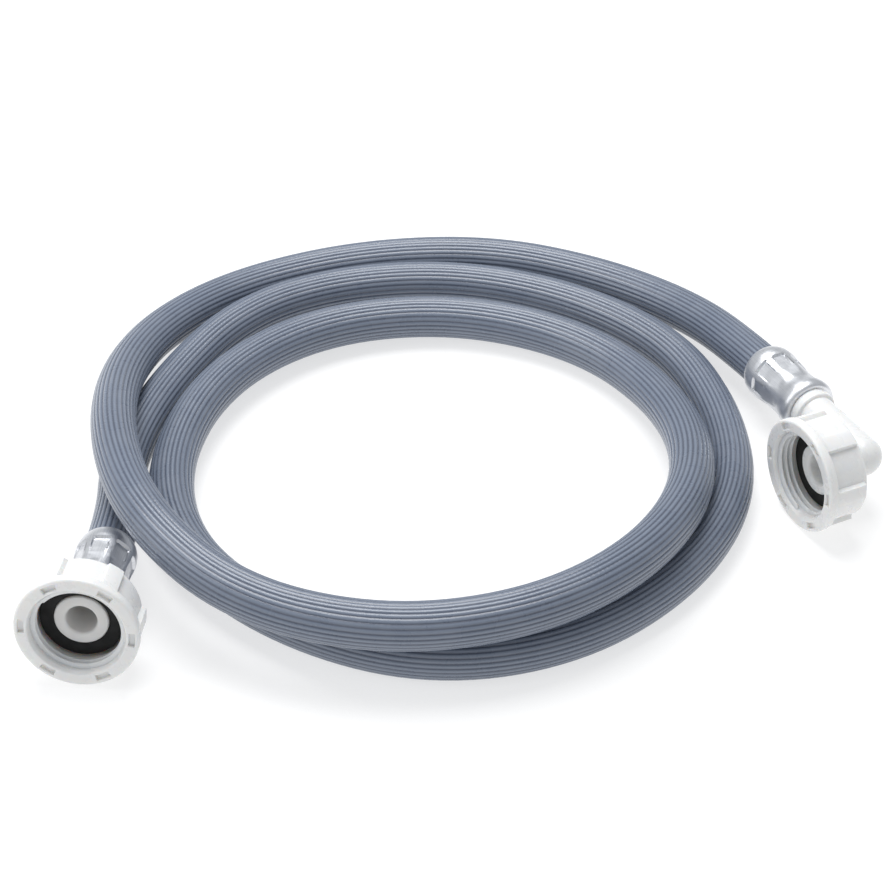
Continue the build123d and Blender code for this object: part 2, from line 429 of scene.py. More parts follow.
class FineGrain(SharedEffect):
    """Fine and broad unevenness of a moulded, extruded or turned surface."""

    title = "Fine grain"
    inputs = (("Place", "NodeSocketVector", 0), ("Fine Scale", "NodeSocketFloat", 900),
              ("Broad Scale", "NodeSocketFloat", 60))
    outputs = (("Fine", "NodeSocketFloat"), ("Broad", "NodeSocketFloat"))

    @classmethod
    def fill(cls, graph: Graph, given: bpy.types.Node, result: bpy.types.Node) -> None:
        """Two noises, one fine and one broad."""
        for scale, detail, out in (("Fine Scale", 3.0, "Fine"), ("Broad Scale", 2.0, "Broad")):
            noise = graph.add("TexNoise", Vector=given.outputs["Place"], Scale=given.outputs[scale],
                              Detail=detail)
            graph.feed(result.inputs[out], noise.outputs["Fac"])


class YarnBraid(SharedEffect):
    """Crossing yarns wound both ways round a tube."""

    title = "Yarn braid"
    inputs = (("Round", "NodeSocketFloat", 0), ("Along", "NodeSocketFloat", 0),
              ("Yarns", "NodeSocketFloat", 12), ("Rise", "NodeSocketFloat", 1.5))
    outputs = (("Height", "NodeSocketFloat"), ("Gap", "NodeSocketFloat"))

    @classmethod
    def fill(cls, graph: Graph, given: bpy.types.Node, result: bpy.types.Node) -> None:
        """Two families of yarns, one over and one under by turns."""
        turn = graph.calc("MULTIPLY", given.outputs["Along"], given.outputs["Rise"])
        waves = []
        for way in ("ADD", "SUBTRACT"):
            slant = graph.calc(way, given.outputs["Round"], turn)
            phase = graph.calc("MULTIPLY", slant, given.outputs["Yarns"])
            waves.append(graph.calc("SINE", graph.calc("MULTIPLY", phase, math.tau)))
        product = graph.calc("MULTIPLY", *waves)
        graph.feed(result.inputs["Height"], graph.fit(product, -1.0, 1.0))
        taller = graph.calc("MAXIMUM", *waves)
        graph.feed(result.inputs["Gap"], graph.fit(taller, -0.9, -0.2, 1.0, 0.0))

    @classmethod
    def on_strand(cls, graph: Graph) -> bpy.types.Node:
        """Wind the yarns round the hose by its strand map."""
        strand = graph.add("UVMap", {"uv_map": STRAND_MAP})
        split = graph.add("SeparateXYZ", Vector=strand.outputs["UV"])
        return cls.place(graph, Round=split.outputs["X"], Along=split.outputs["Y"],
                         Yarns=YARN_COUNT, Rise=1.0)


class HandlingMarks(SharedEffect):
    """Soft smudges and a few fine scratches left by handling."""

    title = "Handling marks"
    inputs = (("Place", "NodeSocketVector", 0), ("Smudge Scale", "NodeSocketFloat", 80),
              ("Amount", "NodeSocketFloat", 0.5))
    outputs = (("Smudge", "NodeSocketFloat"), ("Scratch", "NodeSocketFloat"))

    @classmethod
    def fill(cls, graph: Graph, given: bpy.types.Node, result: bpy.types.Node) -> None:
        """Noise for the smudges, and stretched noise cut to thin lines for the scratches."""
        cloud = graph.add("TexNoise", Vector=given.outputs["Place"],
                          Scale=given.outputs["Smudge Scale"], Detail=4.0, Roughness=0.6)
        smudge = graph.fit(cloud.outputs["Fac"], 0.42, 0.68)
        graph.feed(result.inputs["Smudge"], graph.calc("MULTIPLY", smudge, given.outputs["Amount"]))
        turned = graph.add("Mapping", Vector=given.outputs["Place"], Rotation=(0.5, 0.3, 0.9),
                           Scale=(1.0, 14.0, 1.0))
        lines = graph.add("TexNoise", Vector=turned.outputs["Vector"],
                          Scale=given.outputs["Smudge Scale"], Detail=2.0)
        scratch = graph.fit(lines.outputs["Fac"], 0.66, 0.72)
        graph.feed(result.inputs["Scratch"],
                   graph.calc("MULTIPLY", scratch, given.outputs["Amount"]))


class AxialLines(SharedEffect):
    """Fine lines drawn along a turned piece, and rings turned round it."""

    title = "Axial lines"
    inputs = (("Place", "NodeSocketVector", 0), ("Line Count", "NodeSocketFloat", 60),
              ("Ring Scale", "NodeSocketFloat", 3))
    outputs = (("Lines", "NodeSocketFloat"), ("Rings", "NodeSocketFloat"))

    @classmethod
    def fill(cls, graph: Graph, given: bpy.types.Node, result: bpy.types.Node) -> None:
        """Noise over the angle for the lines, and over the height for the rings."""
        split = graph.add("SeparateXYZ", Vector=given.outputs["Place"])
        turn = graph.calc("ARCTAN2", split.outputs["Y"], split.outputs["X"])
        share = graph.calc("DIVIDE", turn, math.tau)
        drawn = graph.add("TexNoise", {"noise_dimensions": "1D"}, Detail=2.0,
                          W=graph.calc("MULTIPLY", share, given.outputs["Line Count"]))
        drawn.inputs["Scale"].default_value = 1.0
        graph.feed(result.inputs["Lines"], drawn.outputs["Fac"])
        ring = graph.add("TexNoise", {"noise_dimensions": "1D"}, Detail=2.0, W=split.outputs["Z"],
                         Scale=given.outputs["Ring Scale"])
        graph.feed(result.inputs["Rings"], ring.outputs["Fac"])


# ---------------------------------------------------------------- finishes
@dataclass(frozen=True)
class Finish:
    """What a piece is made of and how it looks."""

    title: str
    slot: Slot
    colour: Colour
    roughness: float

    def material(self) -> bpy.types.Material:
        """The finish's material, built once."""
        known = bpy.data.materials.get(self.title)
        if known is not None:
            return known
        made = bpy.data.materials.new(self.title)
        made.use_nodes = True
        graph = Graph(made.node_tree)
        shader = made.node_tree.nodes["Principled BSDF"]
        shader.inputs["Roughness"].default_value = self.roughness
        shader.inputs["Base Color"].default_value = (*self.colour, 1.0)
        made.diffuse_color = (*self.colour, 1.0)
        self.dress(graph, shader)
        return made

    def dress(self, graph: Graph, shader: bpy.types.Node) -> None:
        """Join the finish's own patterns to the shader."""
        raise NotImplementedError

    def put_on(self, piece: bpy.types.Object) -> None:
        """Give the piece this finish's material."""
        piece.data.materials.clear()
        piece.data.materials.append(self.material())


@dataclass(frozen=True)
class CoverPvc(Finish):
    """Extruded grey-blue PVC with painted highlights on the rib tops, painted shade in the grooves,
    and the braid faintly raised.
    """

    # Painted highlight: this lighter colour is laid on the rib tops, and the grooves keep the
    # darker base colour as painted shade.
    crest_highlight_colour: Colour = (0.178, 0.210, 0.272)
    dust_colour: Colour = (0.36, 0.38, 0.42)

    def dress(self, graph: Graph, shader: bpy.types.Node) -> None:
        """Tint by noise, paint highlights on the rib tops and shade in the grooves, and raise the
        braid and a fine grain.
        """
        place = graph.add("TexCoord").outputs["Object"]
        braid = YarnBraid.on_strand(graph)
        grain = FineGrain.place(graph, Place=place, Fine_Scale=2600.0, Broad_Scale=34.0)
        marks = HandlingMarks.place(graph, Place=place, Smudge_Scale=120.0, Amount=0.5)
        crest = graph.add("Attribute", {"attribute_name": CREST}).outputs["Fac"]
        toned = graph.blend(graph.fit(grain.outputs["Broad"], 0.3, 0.7), self.colour,
                            darker(self.colour, 0.84))
        # Painted highlight on the rib tops and painted shade in the grooves, mixed by crest height.
        ribbed = graph.blend(graph.fit(crest, 0.10, 0.95), toned, self.crest_highlight_colour)
        dusted = graph.blend(graph.calc("MULTIPLY", marks.outputs["Smudge"], 0.12), ribbed,
                             self.dust_colour)
        graph.feed(shader.inputs["Base Color"], dusted)
        rough = graph.calc("ADD", self.roughness,
                           graph.calc("MULTIPLY", marks.outputs["Smudge"], 0.10))
        graph.feed(shader.inputs["Roughness"], rough)
        relief = graph.bump(braid.outputs["Height"], 0.06, 0.4)
        fine = graph.bump(grain.outputs["Fine"], 0.03, 0.35, relief)
        graph.feed(shader.inputs["Normal"], fine)
        shader.inputs["Specular IOR Level"].default_value = 0.55
        shader.inputs["Coat Weight"].default_value = 0.20
        shader.inputs["Coat Roughness"].default_value = 0.22


@dataclass(frozen=True)
class BraidYarn(Finish):
    """Pale polyester yarns wound both ways."""

    # Painted shade: this darker colour is laid into the gaps between the yarns.
    gap_shade_colour: Colour = (0.30, 0.31, 0.33)

    def dress(self, graph: Graph, shader: bpy.types.Node) -> None:
        """Weave the yarns and paint shade into the gaps between them."""
        place = graph.add("TexCoord").outputs["Object"]
        braid = YarnBraid.on_strand(graph)
        grain = FineGrain.place(graph, Place=place, Fine_Scale=3000.0, Broad_Scale=200.0)
        # Painted shade in the gaps between the yarns.
        graph.feed(shader.inputs["Base Color"],
                   graph.blend(braid.outputs["Gap"], self.colour, self.gap_shade_colour))
        raised = graph.bump(braid.outputs["Height"], 0.25, 0.9)
        graph.feed(shader.inputs["Normal"], graph.bump(grain.outputs["Fine"], 0.05, 0.6, raised))
        shader.inputs["Sheen Weight"].default_value = 0.3


@dataclass(frozen=True)
class LinerPvc(Finish):
    """Smooth pale liner with faint extrusion lines."""

    def dress(self, graph: Graph, shader: bpy.types.Node) -> None:
        """Broad clouding in the colour and a fine grain in the relief."""
        place = graph.add("TexCoord").outputs["Object"]
        grain = FineGrain.place(graph, Place=place, Fine_Scale=1800.0, Broad_Scale=90.0)
        clouded = graph.blend(graph.fit(grain.outputs["Broad"], 0.3, 0.7), self.colour,
                              darker(self.colour, 0.9))
        graph.feed(shader.inputs["Base Color"], clouded)
        graph.feed(shader.inputs["Normal"], graph.bump(grain.outputs["Fine"], 0.03, 0.4))


@dataclass(frozen=True)
class CrimpedMetal(Finish):
    """Satin plated metal with drawn lines, turned rings and press marks."""

    dark_colour: Colour = (0.40, 0.42, 0.47)

    def dress(self, graph: Graph, shader: bpy.types.Node) -> None:
        """Vary colour, gloss and relief with the lines, rings and smudges."""
        place = graph.add("Attribute", {"attribute_name": LOCAL_PLACE}).outputs["Vector"]
        frame_place = graph.add("TexCoord").outputs["Object"]
        lines = AxialLines.place(graph, Place=place, Line_Count=230.0, Ring_Scale=2.2)
        marks = HandlingMarks.place(graph, Place=frame_place, Smudge_Scale=260.0, Amount=0.8)
        grain = FineGrain.place(graph, Place=frame_place, Fine_Scale=2400.0, Broad_Scale=150.0)
        streak = graph.fit(lines.outputs["Lines"], 0.35, 0.7, 0.0, 0.35)
        clouded = graph.calc("MAXIMUM", streak,
                             graph.calc("MULTIPLY", marks.outputs["Smudge"], 0.30))
        graph.feed(shader.inputs["Base Color"], graph.blend(clouded, self.colour, self.dark_colour))
        rough = graph.calc("ADD", self.roughness,
                           graph.calc("MULTIPLY", marks.outputs["Smudge"], 0.14))
        worn = graph.calc("ADD", rough, graph.fit(lines.outputs["Rings"], 0.4, 0.7, 0.0, 0.06))
        graph.feed(shader.inputs["Roughness"], worn)
        scored = graph.bump(lines.outputs["Lines"], 0.03, 0.5)
        ringed = graph.bump(lines.outputs["Rings"], 0.04, 0.4, scored)
        graph.feed(shader.inputs["Normal"], graph.bump(grain.outputs["Fine"], 0.01, 0.5, ringed))
        shader.inputs["Metallic"].default_value = 1.0


@dataclass(frozen=True)
class WhiteMoulding(Finish):
    """Glossy moulded plastic that lets a little light through."""

    shade_colour: Colour = (0.70, 0.71, 0.72)
    glow: float = 0.45
    glow_reach: float = 2.4

    def dress(self, graph: Graph, shader: bpy.types.Node) -> None:
        """Faint clouding, flow lines and handling marks."""
        place = graph.add("TexCoord").outputs["Object"]
        own = graph.add("Attribute", {"attribute_name": LOCAL_PLACE}).outputs["Vector"]
        grain = FineGrain.place(graph, Place=place, Fine_Scale=1500.0, Broad_Scale=130.0)
        marks = HandlingMarks.place(graph, Place=place, Smudge_Scale=170.0, Amount=0.6)
        rings = AxialLines.place(graph, Place=own, Line_Count=24.0, Ring_Scale=1.1)
        clouded = graph.blend(graph.fit(grain.outputs["Broad"], 0.35, 0.75, 0.0, 0.22),
                              self.colour, self.shade_colour)
        handled = graph.blend(graph.calc("MULTIPLY", marks.outputs["Scratch"], 0.12), clouded,
                              self.shade_colour)
        graph.feed(shader.inputs["Base Color"], handled)
        graph.feed(shader.inputs["Roughness"],
                   graph.calc("ADD", self.roughness,
                              graph.calc("MULTIPLY", marks.outputs["Smudge"], 0.16)))
        flowed = graph.bump(rings.outputs["Rings"], 0.05, 0.25)
        graph.feed(shader.inputs["Normal"], graph.bump(grain.outputs["Fine"], 0.02, 0.3, flowed))
        shader.inputs["Subsurface Weight"].default_value = self.glow
        shader.inputs["Subsurface Radius"].default_value = (1.0, 0.85, 0.7)
        shader.inputs["Subsurface Scale"].default_value = self.glow_reach * MM


@dataclass(frozen=True)
class SealRubber(Finish):
    """Black rubber with a fine grain and a little dust."""

    dust_colour: Colour = (0.018, 0.018, 0.018)

    def dress(self, graph: Graph, shader: bpy.types.Node) -> None:
        """Dust in the colour, grain in the relief."""
        place = graph.add("TexCoord").outputs["Object"]
        grain = FineGrain.place(graph, Place=place, Fine_Scale=1900.0, Broad_Scale=260.0)
        marks = HandlingMarks.place(graph, Place=place, Smudge_Scale=420.0, Amount=0.5)
        dusted = graph.blend(graph.calc("MULTIPLY", marks.outputs["Smudge"], 0.25), self.colour,
                             self.dust_colour)
        graph.feed(shader.inputs["Base Color"], dusted)
        graph.feed(shader.inputs["Roughness"],
                   graph.fit(grain.outputs["Broad"], 0.3, 0.7, self.roughness,
                             self.roughness + 0.15))
        graph.feed(shader.inputs["Normal"], graph.bump(grain.outputs["Fine"], 0.05, 0.6))


COVER_PVC = CoverPvc("Grey-blue ribbed PVC", Slot.HOSE_PVC, (0.088, 0.106, 0.150), 0.27)
BRAID_YARN = BraidYarn("Braided polyester yarn", Slot.BRAID_YARN, (0.72, 0.72, 0.70), 0.7)
LINER_PVC = LinerPvc("Smooth liner PVC", Slot.LINER_PVC, (0.52, 0.52, 0.50), 0.4)
SLEEVE_METAL = CrimpedMetal("Crimped satin metal", Slot.FERRULE_METAL, (0.82, 0.83, 0.85), 0.34)
NUT_WHITE = WhiteMoulding("Glossy white moulding", Slot.WHITE_PLASTIC, (0.80, 0.80, 0.79), 0.26)
TAIL_WHITE = WhiteMoulding("Natural off-white moulding", Slot.TAIL_PLASTIC, (0.74, 0.73, 0.715),
                           0.34, (0.56, 0.55, 0.54), 0.35, 2.2)
SEAL_BLACK = SealRubber("Black seal rubber", Slot.WASHER_RUBBER, (0.0015, 0.0015, 0.0018), 0.7)


def declare(piece: bpy.types.Object, finish: Finish, body: Body,
            node: str | None = None) -> bpy.types.Object:
    """Dress a piece, join it to its body and log it.

    Args:
        piece: the piece.
        finish: what it is made of.
        body: the body it rides on.
        node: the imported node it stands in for, if any.

    Returns:
        The same piece.
    """
    finish.put_on(piece)
    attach(piece, body.value)
    if node is not None:
        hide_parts(node)
    LOG.info("%s: %d faces", piece.name, len(piece.data.polygons))
    return piece


# ---------------------------------------------------------------- the hose
@dataclass
class Hose:
    """The hose itself: ribbed cover, yarn braid and liner on one smooth line."""

    cover_radius: float = 7.0
    braid_radius: float = 6.1
    liner_radius: float = 5.6
    bore_radius: float = 4.75
    rib_count: int = 28
    rib_height: float = 0.26
    rib_shape: Sequence[tuple[float, float]] = ((0.0, 1.0), (0.25, 0.62), (0.5, 0.0), (0.75, 0.62))
    line_steps: int = 10
    twist_turns: float = 0.12
    line: list[Vector] = field(default_factory=list)

    def follow_route(self) -> None:
        """Read the points of the smooth line through the route."""
        data = bpy.data.curves.new("hose_line", "CURVE")
        data.dimensions = "3D"
        data.resolution_u = self.line_steps
        spline = data.splines.new("NURBS")
        spline.points.add(len(ROUTE) - 1)
        for point, place in zip(spline.points, ROUTE):
            point.co = (*place, 1.0)
        spline.order_u = 3
        spline.use_endpoint_u = True
        spline.resolution_u = self.line_steps
        holder = bpy.data.objects.new("hose_line", data)
        bpy.context.scene.collection.objects.link(holder)
        bpy.context.view_layer.update()
        drawn = bpy.data.meshes.new_from_object(holder)
        self.line = [vert.co.copy() for vert in drawn.vertices]
        bpy.data.objects.remove(holder)
        bpy.data.curves.remove(data)
        bpy.data.meshes.remove(drawn)

    def length(self) -> float:
        """Length of the line, in metres."""
        return sum((b - a).length for a, b in zip(self.line, self.line[1:]))

    def stations(self) -> list[tuple[Vector, Vector, Vector, float]]:
        """Frames along the line that turn with it and don't spin.

        Returns:
            (point, level, rise, distance) for each point of the line.
        """
        tangents = [(after - before).normalized() for before, after in
                    zip([self.line[0], *self.line[:-1]], [*self.line[1:], self.line[-1]])]
        level = Vector((0, 0, 1)).cross(tangents[0]).normalized()
        frames, distance, total = [], 0.0, self.length()
        for index, (point, tangent) in enumerate(zip(self.line, tangents)):
            if index:
                distance += (point - self.line[index - 1]).length
                level = tangents[index - 1].rotation_difference(tangent) @ level
            level = (level - tangent * level.dot(tangent)).normalized()
            twist = Quaternion(tangent, math.tau * self.twist_turns * distance / total)
            turned = twist @ level
            frames.append((point, turned, tangent.cross(turned), distance))
        return frames

    def tube(self, name: str, outer: Sequence[tuple[float, float]],
             inner: float) -> bpy.types.Object:
        """One layer of the hose, closed at both ends.

        Args:
            name: the piece's name.
            outer: (share of a turn, radius in millimetres) once round its outside.
            inner: radius of its inside, in millimetres.

        Returns:
            The layer's object, with its strand map and crest heights.
        """
        bm = bmesh.new()
        crest = bm.verts.layers.float.new(CREST)
        strand = bm.loops.layers.uv.new(STRAND_MAP)
        count, girth = len(outer), math.tau * self.cover_radius * MM
        lowest = min(radius for _, radius in outer)
        span = max(max(radius for _, radius in outer) - lowest, 1e-6)
        rings = []
        for point, level, rise, distance in self.stations():
            walls = [[], []]
            for share, radius in outer:
                angle = math.tau * share
                away = level * math.cos(angle) + rise * math.sin(angle)
                walls[0].append(bm.verts.new(point + away * radius * MM))
                walls[0][-1][crest] = (radius - lowest) / span
                walls[1].append(bm.verts.new(point + away * inner * MM))
            rings.append((walls, distance / girth))
        shares = [share for share, _ in outer] + [1.0]

        def panel(corners: Sequence[tuple[bmesh.types.BMVert, float, float]]) -> None:
            """Add one face with its map coordinates."""
            face = bm.faces.new([corner[0] for corner in corners])
            for loop, (_, u, v) in zip(face.loops, corners):
                loop[strand].uv = (u, v)

        for (walls, v0), (ahead, v1) in zip(rings, rings[1:]):
            for side in range(count):
                far = (side + 1) % count
                u0, u1 = shares[side], shares[side + 1]
                panel([(walls[0][side], u0, v0), (walls[0][far], u1, v0),
                       (ahead[0][far], u1, v1), (ahead[0][side], u0, v1)])
                panel([(walls[1][side], u0, v0), (ahead[1][side], u0, v1),
                       (ahead[1][far], u1, v1), (walls[1][far], u1, v0)])
        for (walls, v), first in ((rings[0], True), (rings[-1], False)):
            for side in range(count):
                far = (side + 1) % count
                ring = [(walls[0][side], shares[side], v), (walls[1][side], shares[side], v),
                        (walls[1][far], shares[side + 1], v), (walls[0][far], shares[side + 1], v)]
                panel(ring if first else ring[::-1])
        return finish_mesh(name, bm, None)

    def cover_outline(self) -> list[tuple[float, float]]:
        """Outside of the cover: rounded ribs with a shallow groove between each two."""
        foot = self.cover_radius - self.rib_height
        return [((rib + share) / self.rib_count, foot + self.rib_height * height)
                for rib in range(self.rib_count) for share, height in self.rib_shape]

    def round_outline(self, radius: float, sides: int = 28) -> list[tuple[float, float]]:
        """A plain round outside."""
        return [(side / sides, radius) for side in range(sides)]

    def build(self) -> dict[str, bpy.types.Object]:
        """Build and dress the three layers.

        Returns:
            The cover, braid and liner, by name.
        """
        self.follow_route()
        made = {
            "cover": self.tube("ribbed_cover", self.cover_outline(), self.braid_radius),
            "braid": self.tube("yarn_braid", self.round_outline(self.braid_radius),
                               self.liner_radius),
            "liner": self.tube("inner_liner", self.round_outline(self.liner_radius),
                               self.bore_radius),
        }
        for (key, piece), finish in zip(made.items(), (COVER_PVC, BRAID_YARN, LINER_PVC)):
            declare(piece, finish, Body.HOSE, f"hose_{key}")
        return made


# ---------------------------------------------------------------- fittings
@dataclass
class Sleeve:
    """Crimped metal sleeve round the end of the hose, measured from the hose's cut end."""

    name: str
    node: str
    seat: Seat
    outline: Outline = (
        (7.05, -22.9, 0), (7.35, SLEEVE_BACK, 0), (7.8, -22.5, 0), (8.35, -21.5, 0),
        (8.8, -20.2, 0), (8.98, -18.8, 0), (9.05, -17.4, 0), (8.98, -16.2, 0), (8.84, -14.6, 0),
        (8.68, -12.4, 0), (8.52, -10.2, 0), (8.37, -8.0, 0), (8.24, -6.0, 0), (8.17, -4.2, 0),
        (8.20, -3.2, 0), (8.42, -1.9, 0), (8.82, -0.6, 0), (9.10, 0.6, 0), (9.20, 1.8, 0),
        (9.12, 2.8, 0), (8.80, 3.6, 0), (8.30, 4.0, 0), (6.35, 4.0, 0), (6.35, 0.0, 0),
        (7.05, 0.0, 0),
    )
    sides: int = 144
    panel_count: int = 8
    panel_half_turn: float = 16.3
    panel_back: float = -16.4
    panel_front: float = -4.2
    panel_distance: float = 8.0
    panel_slope: float = 0.42
    panel_reach: float = 7.5

    def press_panels(self, bm: bmesh.types.BMesh) -> None:
        """Press the ring of flat panels into the sleeve's outside."""
        for index in range(self.panel_count):
            outward = sector_middle(index, self.panel_count)
            near = sector_faces(bm, outward, self.panel_reach, self.panel_count,
                                self.panel_half_turn)
            faces = [face for face, centre in near
                     if self.panel_back < centre.z < self.panel_front
                     and face.normal.dot(outward) > 0.5]
            bmesh.ops.inset_region(bm, faces=faces, thickness=self.panel_slope, depth=0.0,
                                   use_even_offset=True, use_boundary=True)
            for vert in {vert for face in faces for vert in face.verts}:
                excess = vert.co.dot(outward) - self.panel_distance
                if excess > 0:
                    vert.co -= outward * excess

    def build(self) -> bpy.types.Object:
        """Build and dress the sleeve."""
        bm = turn_outline(self.outline, self.sides)
        self.press_panels(bm)
        return declare(finish_mesh(self.name, bm, self.seat), SLEEVE_METAL, Body.HOSE, self.node)


@dataclass
class Spigot:
    """Moulded tail: barbed stem, collar, neck, the head that holds the nut, and the nose."""

    name: str
    node: str
    seat: Seat
    nut_rear: float
    stem_length: float = 20.0
    stem_radius: float = 4.7
    stem_bore: float = 3.5
    barb_radius: float = 5.1
    barb_count: int = 5
    groove_radius: float = 6.2
    sleeve_front: float = 4.0
    collar_radius: float = 7.3
    collar_length: float = 1.6
    neck_radius: float = 6.5
    nut_rear_wall: float = 2.5
    end_play: float = 0.3
    head_radius: float = 11.0
    head_length: float = 2.2
    nose_radius: float = 7.8
    nose_length: float = 3.0
    nose_bore: float = 4.4
    nose_bore_back: float = 3.0
    bore_slope: float = 2.5
    sides: int = 96

    def stem_outline(self, neck: float) -> list[tuple[float, float, float]]:
        """Outside of the stem and collar, from the stem's tip to the neck."""
        pitch = self.stem_length / (self.barb_count + 1)
        foot_radius = self.stem_radius - 0.1
        points = [(foot_radius - 0.2, -self.stem_length, 0.2)]
        for index in range(self.barb_count):
            foot = -self.stem_length + 1.0 + index * pitch
            points += [(foot_radius, foot, 0), (self.barb_radius, foot + 0.7 * pitch, 0.1),
                       (foot_radius, foot + 0.75 * pitch, 0)]
        front = self.sleeve_front
        points += [(foot_radius, 0, 0), (self.groove_radius, 0, 0),
                   (self.groove_radius, front + 0.02, 0), (self.collar_radius, front + 0.02, 0.35),
                   (self.collar_radius, front + self.collar_length, 0.6),
                   (neck, front + self.collar_length + 0.25, 0.2)]
        return points

    def head_outline(self) -> list[tuple[float, float, float]]:
        """Outside of the head and nose."""
        head = self.nut_rear + self.nut_rear_wall + self.end_play
        seat = head + self.head_length
        tip = seat + self.nose_length
        return [(self.neck_radius, head, 0), (self.head_radius, head, 0.4),
                (self.head_radius, seat, 0.4), (self.nose_radius, seat, 0),
                (self.nose_radius, tip, 0.55)]

    def nose_tip(self) -> float:
        """Height of the nose's front."""
        return self.head_outline()[-1][1]

    def build(self) -> bpy.types.Object:
        """Build the straight tail, turned in one piece about the hose's axis."""
        tip = self.nose_tip()
        bore = [(self.nose_bore, tip, 0.75), (self.nose_bore, self.nose_bore_back, 0.5),
                (self.stem_bore, self.nose_bore_back - self.bore_slope, 0.5),
                (self.stem_bore, -self.stem_length, 0.2)]
        outline = [*self.stem_outline(self.neck_radius), *self.head_outline(), *bore]
        turned = turn_outline(outline, self.sides)
        return declare(finish_mesh(self.name, turned, self.seat), TAIL_WHITE, Body.HOSE, self.node)


@dataclass
class ElbowSpigot(Spigot):
    """Right-angle tail: stem and domed neck on one axis, head and nose on the other."""

    reach: float = 32.4
    elbow_neck: float = 6.2
    leg_radius: float = 5.9
    leg_foot: float = 5.5
    leg_shoulder: float = 7.0
    collar_length: float = 3.3
    leg_bore: float = 3.3
    leg_bore_length: float = 5.0
    dome_steps: int = 12
    bore_sides: int = 64
    nose_bore_back: float = 8.0

    def build(self) -> bpy.types.Object:
        """Join the two legs, then bore both of them."""
        tip = self.nose_tip()
        climbs = [step * math.pi / (2 * self.dome_steps) for step in range(self.dome_steps)]
        dome = [(self.elbow_neck * math.cos(climb),
                 self.reach + self.elbow_neck * math.sin(climb), 0) for climb in climbs]
        upright = turn_outline([(0, -self.stem_length, 0), *self.stem_outline(self.elbow_neck),
                                *dome, (0, self.reach + self.elbow_neck, 0)], self.sides, False)
        leg = turn_outline([(0, 0, 0), (self.leg_radius, 0, 0),
                            (self.leg_radius, self.leg_foot, 0.8),
                            (self.neck_radius, self.leg_shoulder, 0.4), *self.head_outline(),
                            (0, tip, 0)], self.sides, False)
        foot, end = -self.stem_length - 1, self.reach + self.stem_bore
        stem_bore = turn_outline([(0, foot, 0), (self.stem_bore, foot, 0),
                                  (self.stem_bore, end, 0.8), (0, end, 0)], self.bore_sides, False)
        flare = self.nose_bore + 0.8
        leg_bore = turn_outline([(0, -0.2, 0), (self.leg_bore, -0.2, 0),
                                 (self.leg_bore, self.leg_bore_length, 0.5),
                                 (self.nose_bore, self.nose_bore_back, 0.5),
                                 (self.nose_bore, tip - 0.8, 0.4), (flare, tip + 0.05, 0),
                                 (flare, tip + 1, 0), (0, tip + 1, 0)], self.bore_sides, False)
        to_leg = self.seat.matrix().inverted() @ self.seat.side_leg(self.reach).matrix()
        for shape in (leg, leg_bore):
            bmesh.ops.transform(shape, matrix=to_leg, verts=shape.verts)
        joined = carve(self.name, upright, [("UNION", leg), ("DIFFERENCE", stem_bore),
                                            ("DIFFERENCE", leg_bore)])
        return declare(finish_mesh(self.name, joined, self.seat), NUT_WHITE, Body.HOSE, self.node)


@dataclass
class SealRing:
    """Flat rubber ring seated on the head, round the nose."""

    name: str
    node: str
    seat: Seat
    outline: Outline = (
        (7.92, 0.0, 0.2), (12.0, 0.0, 0.35), (12.0, 1.15, 0), (12.05, 1.25, 0), (12.0, 1.35, 0),
        (12.0, 2.5, 0.35), (7.92, 2.5, 0.2),
    )
    sides: int = 96

    def build(self) -> bpy.types.Object:
        """Build and dress the ring."""
        turned = turn_outline(self.outline, self.sides)
        return declare(finish_mesh(self.name, turned, self.seat), SEAL_BLACK, Body.HOSE, self.node)


